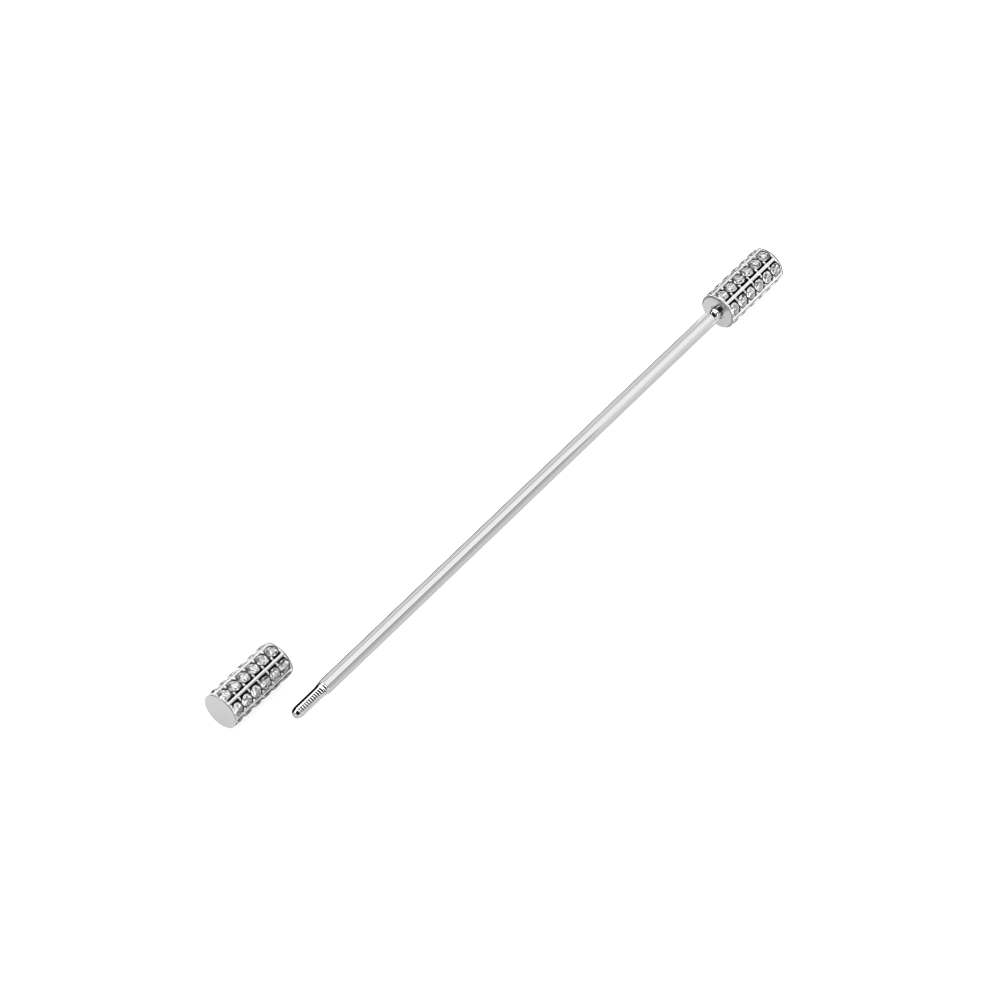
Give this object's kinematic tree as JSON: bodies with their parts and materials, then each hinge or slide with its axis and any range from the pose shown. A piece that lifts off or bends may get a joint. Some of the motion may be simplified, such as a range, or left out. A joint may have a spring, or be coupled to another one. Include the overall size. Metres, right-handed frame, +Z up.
{
  "type": "lapel pin",
  "caption": "Barbell lapel pin: slim round shaft with a threaded tip, a jewelled barrel fixed at one end and a matching screw-off barrel cap lying beside the tip.",
  "frame": {"origin": "middle of the footprint, on the surface that the pin and its cap lie on", "axes": "+Z up, +X along the shaft from the threaded tip towards the fixed barrel, +Y towards the side where the cap lies"},
  "size_m": [0.0602, 0.007, 0.0031],
  "materials": {
    "polished_white_gold": "polished",
    "cut_white_gold": "polished",
    "flat_white_gold": "polished",
    "bush_white_gold": "polished",
    "clear_stone": "polished"
  },
  "bodies": {
    "pin": {"shaft": "polished_white_gold", "head_setting": "cut_white_gold", "head_bush": "flat_white_gold", "head_end_plate": "flat_white_gold", "head_stone_top_1": "clear_stone", "head_stone_top_2": "clear_stone", "head_stone_top_3": "clear_stone", "head_stone_top_4": "clear_stone", "head_stone_top_5": "clear_stone", "head_stone_top_6": "clear_stone", "head_stone_front_upper_1": "clear_stone", "head_stone_front_upper_2": "clear_stone", "head_stone_front_upper_3": "clear_stone", "head_stone_front_upper_4": "clear_stone", "head_stone_front_upper_5": "clear_stone", "head_stone_front_upper_6": "clear_stone", "head_stone_front_lower_1": "clear_stone", "head_stone_front_lower_2": "clear_stone", "head_stone_front_lower_3": "clear_stone", "head_stone_front_lower_4": "clear_stone", "head_stone_front_lower_5": "clear_stone", "head_stone_front_lower_6": "clear_stone", "head_stone_back_upper_1": "clear_stone", "head_stone_back_upper_2": "clear_stone", "head_stone_back_upper_3": "clear_stone", "head_stone_back_upper_4": "clear_stone", "head_stone_back_upper_5": "clear_stone", "head_stone_back_upper_6": "clear_stone"},
    "cap_core": {"cap_bush": "bush_white_gold"},
    "cap": {"cap_setting": "cut_white_gold", "cap_end_plate": "flat_white_gold", "cap_stone_top_1": "clear_stone", "cap_stone_top_2": "clear_stone", "cap_stone_top_3": "clear_stone", "cap_stone_top_4": "clear_stone", "cap_stone_top_5": "clear_stone", "cap_stone_top_6": "clear_stone", "cap_stone_front_upper_1": "clear_stone", "cap_stone_front_upper_2": "clear_stone", "cap_stone_front_upper_3": "clear_stone", "cap_stone_front_upper_4": "clear_stone", "cap_stone_front_upper_5": "clear_stone", "cap_stone_front_upper_6": "clear_stone", "cap_stone_front_lower_1": "clear_stone", "cap_stone_front_lower_2": "clear_stone", "cap_stone_front_lower_3": "clear_stone", "cap_stone_front_lower_4": "clear_stone", "cap_stone_front_lower_5": "clear_stone", "cap_stone_front_lower_6": "clear_stone", "cap_stone_back_upper_1": "clear_stone", "cap_stone_back_upper_2": "clear_stone", "cap_stone_back_upper_3": "clear_stone", "cap_stone_back_upper_4": "clear_stone", "cap_stone_back_upper_5": "clear_stone", "cap_stone_back_upper_6": "clear_stone"}
  },
  "joints": [
    {"name": "cap_aside", "type": "slide", "parent": "pin", "child": "cap_core", "axis": [-0.8304, -0.5571, 0], "range_m": [0, 0.007]},
    {"name": "cap_turn", "type": "hinge", "parent": "cap_core", "child": "cap", "pos_m": [-0.03008, 0.00195, 0.0015], "axis": [1, 0, 0], "continuous": true}
  ]
}
